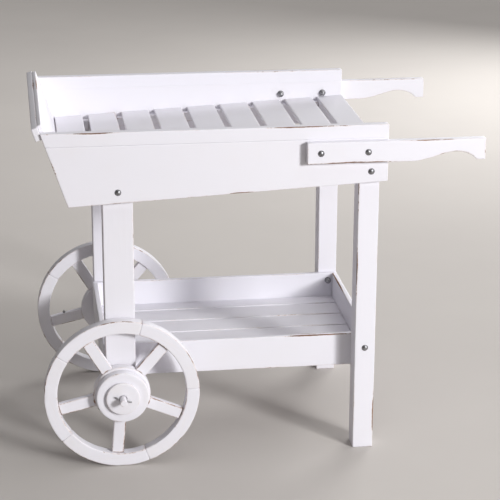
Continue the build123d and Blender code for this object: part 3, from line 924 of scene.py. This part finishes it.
def make_fastener_set():
    """A fastener on every point, turned by the point's own "turn" and a random spin."""
    group, tree, given, out = geometry_group(
        "fastener_set",
        [
            ("Fastener", OBJECT, None),
            ("Seed", WHOLE, 1),
            ("Finish", FINISH, None),
        ],
    )
    piece = tree.add("GeometryNodeObjectInfo", {"transform_space": "ORIGINAL"})
    tree.put(piece.inputs["Object"], given["Fastener"])
    turn = tree.add("GeometryNodeInputNamedAttribute", {"data_type": "FLOAT_VECTOR"}, Name="turn")
    spin = tree.add("FunctionNodeRandomValue", {"data_type": "FLOAT"})
    tree.put(spin.inputs["Seed"], given["Seed"])
    tree.put(live(spin.inputs, "Max"), 2 * math.pi)
    around = tree.add("ShaderNodeCombineXYZ")
    tree.put(around.inputs["Z"], live(spin.outputs))
    copies = tree.add("GeometryNodeInstanceOnPoints", Points=given["Geometry"])
    tree.put(copies.inputs["Instance"], piece.outputs["Geometry"])
    tree.put(copies.inputs["Rotation"], live(turn.outputs))
    spun = tree.add("GeometryNodeRotateInstances", Instances=copies.outputs["Instances"])
    tree.put(spun.inputs["Rotation"], around.outputs["Vector"])
    real = tree.add("GeometryNodeRealizeInstances", Geometry=spun.outputs["Instances"])
    finish = tree.add("GeometryNodeSetMaterial", Geometry=real.outputs["Geometry"])
    tree.put(finish.inputs["Material"], given["Finish"])
    tree.put(out["Geometry"], finish.outputs["Geometry"])
    return group


SINGLE_BOARD = make_single_board()
BOARD_ROW = make_board_row()
PIECE_RING = make_piece_ring()
FASTENER_SET = make_fastener_set()


def run_tree(piece, group, values):
    """Runs a geometry tree on an object and keeps its result as the object's plain mesh."""
    modifier = piece.modifiers.new(group.name, "NODES")
    modifier.node_group = group
    sockets = {
        item.name: item.identifier
        for item in group.interface.items_tree
        if item.item_type == "SOCKET" and item.in_out == "INPUT"
    }
    for label, value in values.items():
        modifier[sockets[label]] = value
    bpy.context.view_layer.update()
    result = piece.evaluated_get(bpy.context.evaluated_depsgraph_get())
    mesh = bpy.data.meshes.new_from_object(result)
    piece.modifiers.clear()
    old = piece.data
    piece.data = mesh
    bpy.data.meshes.remove(old)
    mesh.name = piece.name
    return piece


def hand_over(piece, body, slot, *stands_for):
    """Puts a finished piece on its body and hides the nodes that it stands for."""
    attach(piece, body)
    if stands_for:
        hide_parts(*stands_for)
    return piece


# --------------------------------------
# Tray, legs, handles and shelf: boards drawn along one axis
# --------------------------------------


def board(
    node, along, material, edge=BOARD_EDGE, chip=CHIP, rubbed_depth=RUBBED_DEPTH, seed=1, tight=None
):
    """A worn, round-edged board in place of a plain node."""
    shapes = []
    for points, low, high in outlines(node, along):
        verts, faces, near = drawn_board(points, low, high, edge, tight=tight)
        shapes.append((placed(verts, along), faces, near))
    piece = mesh_object(f"{node}_timber", shapes)
    values = {"Chip depth": chip, "Rubbed depth": rubbed_depth, "Seed": seed, "Finish": material}
    run_tree(piece, SINGLE_BOARD, values)
    return hand_over(piece, body_of[node], "painted_timber", node)


def glued_at(height, outside):
    """For boards drawn along Y: sharper edges where Z is at a joint's height."""

    def tight(place, end):
        if abs(place[0] - height) > TOUCHING:
            return 1.0
        return GLUE_OUTSIDE if abs(end - outside) < TOUCHING else GLUE_INSIDE

    return tight


for seed, side in enumerate(SIDES):
    strip_low, strip_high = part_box(f"{side}_top_strip")
    glue_line = glued_at(strip_low.z, strip_low.y if side == "near" else strip_high.y)
    board(f"{side}_side_board", Y, PAINT_LENGTHWISE, seed=seed, tight=glue_line)
    board(f"{side}_top_strip", Y, PAINT_LENGTHWISE, seed=seed + 2, tight=glue_line)
    board(
        f"{side}_handle",
        Y,
        PAINT_LENGTHWISE,
        chip=HANDLE_CHIP,
        rubbed_depth=HANDLE_RUBBED_DEPTH,
        seed=seed + 4,
    )
    board(f"{side}_wheel_leg", Y, PAINT_UPRIGHT, edge=LEG_EDGE, seed=seed + 6)
    board(f"{side}_stand_leg", Y, PAINT_UPRIGHT, edge=LEG_EDGE, seed=seed + 8)
    board(f"{side}_slat_runners", Y, PAINT_LENGTHWISE, seed=seed + 10)
    finish = PAINT_LENGTHWISE if side == "near" else PAINT_SHELF
    board(f"shelf_{side}_board", Y, finish, seed=seed + 12)
for seed, node in enumerate(
    (
        "end_panel",
        "end_rail",
        "wheel_cross_rail",
        "stand_cross_rail",
        "shelf_wheel_end_board",
        "shelf_handle_end_board",
    ),
    start=21,
):
    board(node, Y, PAINT_CROSSWISE, seed=seed)

# --------------------------------------
# Rows: tray slats, shelf slats and battens
# --------------------------------------


def numbered(stem):
    """The nodes called stem1, stem2 and so on, in order."""
    found = [name for name in nodes if name.startswith(stem) and name[len(stem):].isdigit()]
    return sorted(found, key=lambda name: int(name[len(stem):]))


def board_row(name, members, along, material, seed):
    """A row of equal boards in place of its nodes, at the pitch of the first two."""
    start, after, end = (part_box(members[k])[0] for k in (0, 1, -1))
    pitch = after - start
    count = round((end - start).length / pitch.length) + 1
    points, low, high = outlines(members[0], along)[0]
    verts, faces, near = drawn_board(points, low, high, BOARD_EDGE)
    piece = mesh_object(name, [(placed(verts, along), faces, near)])
    values = {"Count": count, "Pitch": pitch, "Seed": seed, "Finish": material}
    run_tree(piece, BOARD_ROW, values)
    return hand_over(piece, "root", "painted_timber", *members)


tray_slats = numbered("tray_slat_")
shelf_slats = numbered("shelf_slat_")
board_row("tray_slats", tray_slats[:-1], Y, PAINT_CROSSWISE, 31)
board(tray_slats[-1], Y, PAINT_CROSSWISE, seed=32)
board_row("shelf_slats", shelf_slats[1:-1], X, PAINT_SHELF, 33)
board(shelf_slats[0], X, PAINT_SHELF, seed=34)
board(shelf_slats[-1], X, PAINT_SHELF, seed=35)
board_row("shelf_battens", numbered("shelf_batten_"), Y, PAINT_CROSSWISE, 36)

# --------------------------------------
# Wheels
# --------------------------------------


def along_the_rim(centre):
    """Grain that follows a felloe round the wheel: arc length, radius, depth."""

    def grain(verts):
        away = verts - np.array(centre)
        radius = np.hypot(away[:, 0], away[:, 2])
        angle = np.arctan2(away[:, 2], away[:, 0])
        middle = np.median(radius)
        return np.column_stack([angle * middle, radius, away[:, 1]])

    return grain


def along_the_spoke(centre):
    """Grain that runs outwards along a spoke."""

    def grain(verts):
        away = verts - np.array(centre)
        middle = away.mean(axis=0)
        out = np.array([middle[0], middle[2]])
        out /= np.linalg.norm(out)
        run = away[:, 0] * out[0] + away[:, 2] * out[1]
        side = away[:, 2] * out[0] - away[:, 0] * out[1]
        return np.column_stack([run, side, away[:, 1]])

    return grain


def rolled_on(centre):
    """The tread is rubbed where the wheel rolls on it."""
    tread = (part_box("near_wheel_felloes")[1].z - centre.z) * TREAD_START

    def rubbing(verts):
        radius = np.hypot(verts[:, 0] - centre.x, verts[:, 2] - centre.z)
        return np.where(radius > tread, TREAD_RUB, 0.0)

    return rubbing


def radial_piece(name, node, centre, grain, seed, edge, chip, tight=None):
    """The equal pieces of a wheel, copied round its centre from the first solid."""
    shapes = outlines(node, Y)
    verts, faces, near = drawn_board(*shapes[0], edge, tight=tight)
    shape = (placed(verts, Y), faces, near)
    piece = mesh_object(name, [shape], grain=grain(centre), rubbing=rolled_on(centre))
    values = {
        "Count": len(shapes),
        "Centre": centre,
        "Chip depth": chip,
        "Seed": seed,
        "Finish": PAINT_WHEEL,
    }
    run_tree(piece, PIECE_RING, values)
    return hand_over(piece, body_of[node], "painted_timber", node)


def bore_of(node, centre):
    """The radius of the hole through a node, about an axis along Y."""
    points = [v.co - centre for v in nodes[node].data.vertices]
    return min(math.hypot(point.x, point.z) for point in points)


def between_arcs(points, centre):
    """For a felloe: nearly sharp edges where it meets the next one."""
    middle = np.array([centre.z, centre.x])
    radius = np.linalg.norm(points - middle, axis=1)
    inner, outer = radius.min(), radius.max()

    def tight(place, end):
        away = np.linalg.norm(place - middle)
        return JOINT_ROUND if inner + ARC_MARGIN < away < outer - ARC_MARGIN else 1.0

    return tight


def turned_piece(node, centre, edge):
    """A turned disc of a hub, in place of a plain node."""
    low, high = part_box(node)
    outer = (high.x - low.x) / 2
    inner = bore_of(node, centre)
    profile = [(inner, low.y), (outer, low.y), (outer, high.y), (inner, high.y)]
    verts, faces, near = turned_board(profile, edge)
    verts = placed(verts, Y) + np.array([centre.x, 0, centre.z])
    piece = mesh_object(f"{node}_turned", [(verts, faces, near)])
    run_tree(piece, SINGLE_BOARD, {"Chip depth": HUB_CHIP, "Finish": PAINT_HUB, "Seed": 7})
    return hand_over(piece, body_of[node], "painted_timber", node)


for seed, side in enumerate(SIDES):
    rim_node, spoke_node = f"{side}_wheel_felloes", f"{side}_wheel_spokes"
    rim_low, rim_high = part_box(rim_node)
    centre = (rim_low + rim_high) / 2
    arcs = between_arcs(outlines(rim_node, Y)[0][0], centre)
    for name, node, grain, first_seed, edge, chip, tight in (
        ("rim", rim_node, along_the_rim, 41, FELLOE_EDGE, FELLOE_CHIP, arcs),
        ("spoke_set", spoke_node, along_the_spoke, 51, SPOKE_EDGE, SPOKE_CHIP, None),
    ):
        name = f"{side}_wheel_{name}"
        radial_piece(name, node, centre, grain, first_seed + seed, edge, chip, tight)
    for part, edge in HUB_EDGES:
        turned_piece(f"{side}_wheel_{part}", centre, edge)

# --------------------------------------
# Axle and fasteners
# --------------------------------------

board("axle", Y, PAINT_HUB, edge=AXLE_EDGE, chip=AXLE_CHIP, rubbed_depth=0.0, seed=61)

HEAD_HEIGHT = 0.0042
HEAD_RADIUS = 0.0074
SHANK_RADIUS = 0.004
NUT_FLATS = 0.0065           # half the width across a nut's flats
NUT_HEIGHT = 0.006           # of its hexagon, under the dome
DOME_HEIGHT = 0.0036
BOLT_WASHER = (0.008, 0.0015)     # radius, thickness
AXLE_WASHER = (0.020, 0.0024)
SCREW_RADIUS = 0.0036
SCREW_SHANK = 0.00175
SLAT_SCREW = 0.028           # length
SHELF_SCREW = 0.034
SPOKE_SCREW = 0.012
PIN_RADIUS = 0.00175
PIN_LENGTH = 0.040
PAINT_OVER_SCREW = 0.00025
SHARP_METAL = math.radians(38)    # an edge that turns more than this stays sharp
SPOKE_SCREW_REACH = 0.109    # from the wheel's centre
SPOKE_SCREW_ANGLE = math.radians(-176.5)


def turned_solid(name, profile, turns, shape=None):
    """A solid turned about Z from a profile of (radius, height) that starts and ends on the axis.

    shape(radius, angle, height) may change the radius, as for a hexagon."""
    rings = []
    for k in range(turns):
        angle = 2 * math.pi * k / turns
        for radius, height in profile:
            size = shape(radius, angle, height) if shape else radius
            rings.append((size * math.cos(angle), size * math.sin(angle), height))
    width = len(profile)
    faces = []
    for k in range(turns):
        nxt = (k + 1) % turns
        for i in range(width - 1):
            faces.append((k * width + i, nxt * width + i, nxt * width + i + 1, k * width + i + 1))
    mesh = bpy.data.meshes.new(name)
    mesh.from_pydata(rings, [], faces)
    close_up(mesh)
    mesh.set_sharp_from_angle(angle=SHARP_METAL)
    return bpy.data.objects.new(name, mesh)


def dome(radius, height, base, steps=7):
    """Points of a dome's profile from its top on the axis to its foot."""
    sphere = (radius**2 + height**2) / (2 * height)
    most = math.asin(radius / sphere)
    if height > radius:
        most = math.pi - most
    drop = sphere - height
    return [
        (sphere * math.sin(most * k / steps), base + sphere * math.cos(most * k / steps) - drop)
        for k in range(steps + 1)
    ]


def bolt_profile(length):
    """A domed head that stands on height 0, with its shank below."""
    head = dome(HEAD_RADIUS - 0.0002, HEAD_HEIGHT - 0.0006, 0.0006)
    rest = [
        (HEAD_RADIUS, 0.0003),
        (HEAD_RADIUS - 0.0001, 0.0),
        (SHANK_RADIUS, 0.0),
        (SHANK_RADIUS, -length),
        (0.0, -length),
    ]
    return head + rest


def hexagon(radius, angle, height):
    """The least of a cone's radius and a hexagon's, for the lower part of a nut."""
    if height > NUT_HEIGHT:
        return radius
    sixth = math.pi / 3
    return min(radius, NUT_FLATS / math.cos((angle + sixth / 2) % sixth - sixth / 2))


def nut_profile():
    """A domed nut whose hexagon is cut by hexagon()."""
    corner = NUT_FLATS / math.cos(math.pi / 6)
    crown = dome(NUT_FLATS - 0.0006, DOME_HEIGHT, NUT_HEIGHT + 0.00001)
    return crown + [
        (NUT_FLATS - 0.0001, NUT_HEIGHT),
        (corner, NUT_HEIGHT - 0.0006),
        (corner, 0.0006),
        (NUT_FLATS, 0.0),
        (0.0, 0.0),
    ]


def washer_profile(radius, thickness):
    """A washer with softened edges, closed where the bolt fills it."""
    soft = 0.0003
    return [
        (0.0, thickness),
        (radius - soft, thickness),
        (radius, thickness - soft),
        (radius, soft),
        (radius - soft, 0.0),
        (0.0, 0.0),
    ]


def screw_profile(length):
    """A countersunk head with paint over it, dimpled where the slot is filled."""
    top = PAINT_OVER_SCREW
    return [
        (0.0, top * 0.3),
        (0.0008, top * 0.5),
        (0.0016, top),
        (SCREW_RADIUS - 0.0006, top),
        (SCREW_RADIUS - 0.0001, top * 0.2),
        (SCREW_RADIUS - 0.0001, -top),
        (SCREW_SHANK, -SCREW_RADIUS + SCREW_SHANK),
        (SCREW_SHANK, -length + 0.002),
        (0.0, -length),
    ]


def pin_profile(length):
    """A round pin with chamfered ends, about its middle."""
    half = length / 2
    return [
        (0.0, half),
        (0.0013, half - 0.0001),
        (PIN_RADIUS, half - 0.0006),
        (PIN_RADIUS, 0.0006 - half),
        (0.0013, 0.0001 - half),
        (0.0, -half),
    ]


def solids_of(node):
    """The points of each solid of a node, as arrays."""
    mesh = joined_mesh(node)
    clouds = []
    for solid in separate_solids(mesh):
        points = {v.index: tuple(v.co) for face in solid for v in face.verts}
        clouds.append(np.array(list(points.values())))
    mesh.free()
    return clouds


def wide_end(cloud):
    """(middle of the end face, outward direction) at the wide end of a long turned solid."""
    middle = (cloud.min(axis=0) + cloud.max(axis=0)) / 2
    axis = np.linalg.svd(cloud - cloud.mean(axis=0), full_matrices=False)[2][0]
    along = (cloud - middle) @ axis
    away = np.linalg.norm((cloud - middle) - np.outer(along, axis), axis=1)
    if along[away.argmax()] < 0:
        axis, along = -axis, -along
    return middle + axis * along.max(), axis


def set_of_fasteners(name, fastener, places, finish, slot, seed, *stands_for, body="root"):
    """One piece from a fastener copied to (place, direction) pairs."""
    mesh = bpy.data.meshes.new(name)
    mesh.from_pydata([tuple(place) for place, _ in places], [], [])
    turns = [Vector(way).to_track_quat("Z", "Y").to_euler() for _, way in places]
    store(mesh, "turn", np.array(turns))
    piece = bpy.data.objects.new(name, mesh)
    bpy.context.scene.collection.objects.link(piece)
    bpy.context.scene.collection.objects.link(fastener)
    run_tree(piece, FASTENER_SET, {"Fastener": fastener, "Seed": seed, "Finish": finish})
    bpy.data.objects.remove(fastener)
    return hand_over(piece, body, slot, *stands_for)


for number, group in enumerate(("handle", "leg", "shelf")):
    clouds = solids_of(f"{group}_bolts")
    ends = [wide_end(cloud) for cloud in clouds]
    reach = clouds[0][:, Y]
    length = reach.max() - reach.min() - HEAD_HEIGHT
    places = [(end - way * HEAD_HEIGHT, way) for end, way in ends]
    bolt = turned_solid("bolt", bolt_profile(length), 28)
    set_of_fasteners(
        f"{group}_bolt_set", bolt, places, STEEL, "dark_steel", 71 + number, f"{group}_bolts"
    )

for node, profile, turns, shape in (
    ("bolt_nuts", nut_profile(), 36, hexagon),
    ("bolt_washers", washer_profile(*BOLT_WASHER), 32, None),
    ("axle_washers", washer_profile(*AXLE_WASHER), 64, None),
):
    places = []
    for cloud in solids_of(node):
        low, high = cloud.min(axis=0), cloud.max(axis=0)
        middle = (low + high) / 2
        inward = -1.0 if middle[Y] > 0 else 1.0
        start = high[Y] if inward < 0 else low[Y]
        places.append(((middle[X], start, middle[Z]), (0, inward, 0)))
    solid = turned_solid("fastener", profile, turns, shape)
    set_of_fasteners(f"{node}_set", solid, places, STEEL, "dark_steel", 81, node)

for node, length in (("tray_slat_screws", SLAT_SCREW), ("shelf_screws", SHELF_SCREW)):
    places = [wide_end(cloud) for cloud in solids_of(node)]
    screw = turned_solid("screw", screw_profile(length), 20)
    set_of_fasteners(f"{node}_set", screw, places, PAINT_CROSSWISE, "painted_timber", 91, node)

places = []
for cloud in solids_of("axle_pins"):
    middle = (cloud.min(axis=0) + cloud.max(axis=0)) / 2
    axis = np.linalg.svd(cloud - cloud.mean(axis=0), full_matrices=False)[2][0]
    places.append((middle, axis))
pin = turned_solid("pin", pin_profile(PIN_LENGTH), 20)
set_of_fasteners("axle_pin_set", pin, places, STEEL, "dark_steel", 95, "axle_pins")

rim_low, rim_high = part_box("far_wheel_felloes")
spoke_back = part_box("far_wheel_spokes")[0].y
spoke_screw = (
    (rim_low.x + rim_high.x) / 2 + SPOKE_SCREW_REACH * math.cos(SPOKE_SCREW_ANGLE),
    spoke_back,
    (rim_low.z + rim_high.z) / 2 + SPOKE_SCREW_REACH * math.sin(SPOKE_SCREW_ANGLE),
)
screw = turned_solid("screw", screw_profile(SPOKE_SCREW), 20)
set_of_fasteners(
    "spoke_screw", screw, [(spoke_screw, (0, -1, 0))], STEEL, "dark_steel", 97, body="far_wheel"
)

# --------------------------------------
# Materials of the nodes that stay
# --------------------------------------
for side in SIDES:
    bush = nodes[f"{side}_wheel_bush"]
    bush.data.materials.clear()
    bush.data.materials.append(PLASTIC)

# --------------------------------------
# Floor, light and camera
# --------------------------------------
FLOOR_WIDTH = 80.0
SUNS = (    # name, turn, height, softness, strength, colour
    ("key", 38, 17, 9, 1.6, (0.99, 0.985, 1.0)),
    ("overhead", 60, 80, 70, 1.0, (1.0, 0.99, 0.99)),
)
LAMPS = (    # name, place, target, width, watts
    ("side_light", (1.8, -2.6, 1.5), (0, 0, 0.5), 0.8, 42),
    ("back_light", (2.4, 3.4, 2.0), (0, 0, 0.4), 2.0, 100),
)
ROOM_STRENGTH = 0.10
ROOM_COLOUR = (1.0, 0.97, 0.95, 1)

CAMERA_PLACE = Vector((-0.5361, -3.9346, 1.7189))
CAMERA_YAW = 0.1393          # radians, to the right of +Y
CAMERA_PITCH = -0.3192       # below the level
CAMERA_ROLL = 0.0040
CAMERA_LENS = 126.25         # millimetres, like the sensor
SENSOR_WIDTH = 36.0


def pale_floor():
    """A plain, dull floor much larger than the cart."""
    material, tree, shader = new_material("pale_floor")
    where = tree.add("ShaderNodeTexCoord").outputs["Object"]
    cloud = tree.noise(where, 1.3, 4.0, 0.6)
    colour = tree.mix(cloud, FLOOR_DARK, FLOOR_LIGHT)
    tree.put(shader.inputs["Base Color"], colour)
    shader.inputs["Roughness"].default_value = 0.9
    shader.inputs["Specular IOR Level"].default_value = 0.1
    mesh = bpy.data.meshes.new("studio_floor")
    half = FLOOR_WIDTH / 2
    corners = [(-half, -half, 0), (half, -half, 0), (half, half, 0), (-half, half, 0)]
    mesh.from_pydata(corners, [], [(0, 1, 2, 3)])
    mesh.materials.append(material)
    floor = bpy.data.objects.new("studio_floor", mesh)
    bpy.context.scene.collection.objects.link(floor)


def soft_light(name, place, target, width, watts):
    """A square lamp that faces a target."""
    light = bpy.data.lights.new(name, "AREA")
    light.shape = "RECTANGLE"
    light.size = light.size_y = width
    light.energy = watts
    lamp = bpy.data.objects.new(name, light)
    lamp.location = place
    lamp.rotation_euler = (Vector(target) - Vector(place)).to_track_quat("-Z", "Y").to_euler()
    bpy.context.scene.collection.objects.link(lamp)


def even_light(name, turn, height, softness, strength, colour):
    """A broad even light from one direction, turned to the right of the front, in degrees."""
    light = bpy.data.lights.new(name, "SUN")
    light.energy = strength
    light.angle = math.radians(softness)
    light.color = colour
    lamp = bpy.data.objects.new(name, light)
    turn, height = math.radians(turn), math.radians(height)
    level = math.cos(height)
    toward = Vector((math.sin(turn) * level, -math.cos(turn) * level, math.sin(height)))
    lamp.rotation_euler = (-toward).to_track_quat("-Z", "Y").to_euler()
    bpy.context.scene.collection.objects.link(lamp)


def studio_world():
    """A dim, even glow from the room."""
    world = bpy.data.worlds.new("studio")
    world.use_nodes = True
    background = next(n for n in world.node_tree.nodes if n.type == "BACKGROUND")
    background.inputs["Color"].default_value = ROOM_COLOUR
    background.inputs["Strength"].default_value = ROOM_STRENGTH
    bpy.context.scene.world = world


def add_camera():
    """The camera, to the left of the cart's front and above it."""
    data = bpy.data.cameras.new("camera")
    data.lens = CAMERA_LENS
    data.sensor_width = SENSOR_WIDTH
    camera = bpy.data.objects.new("camera", data)
    level = math.cos(CAMERA_PITCH)
    east, north = math.sin(CAMERA_YAW), math.cos(CAMERA_YAW)
    ahead = Vector((east * level, north * level, math.sin(CAMERA_PITCH)))
    across = Vector((north, -east, 0))
    above = across.cross(ahead)
    right = across * math.cos(CAMERA_ROLL) + above * math.sin(CAMERA_ROLL)
    up = above * math.cos(CAMERA_ROLL) - across * math.sin(CAMERA_ROLL)
    turned = Matrix((right, up, -ahead)).transposed().to_4x4()
    camera.matrix_world = Matrix.Translation(CAMERA_PLACE) @ turned
    bpy.context.scene.collection.objects.link(camera)
    bpy.context.scene.camera = camera


pale_floor()
for values in SUNS:
    even_light(*values)
for values in LAMPS:
    soft_light(*values)
studio_world()
add_camera()
bpy.context.scene.view_settings.view_transform = "Standard"
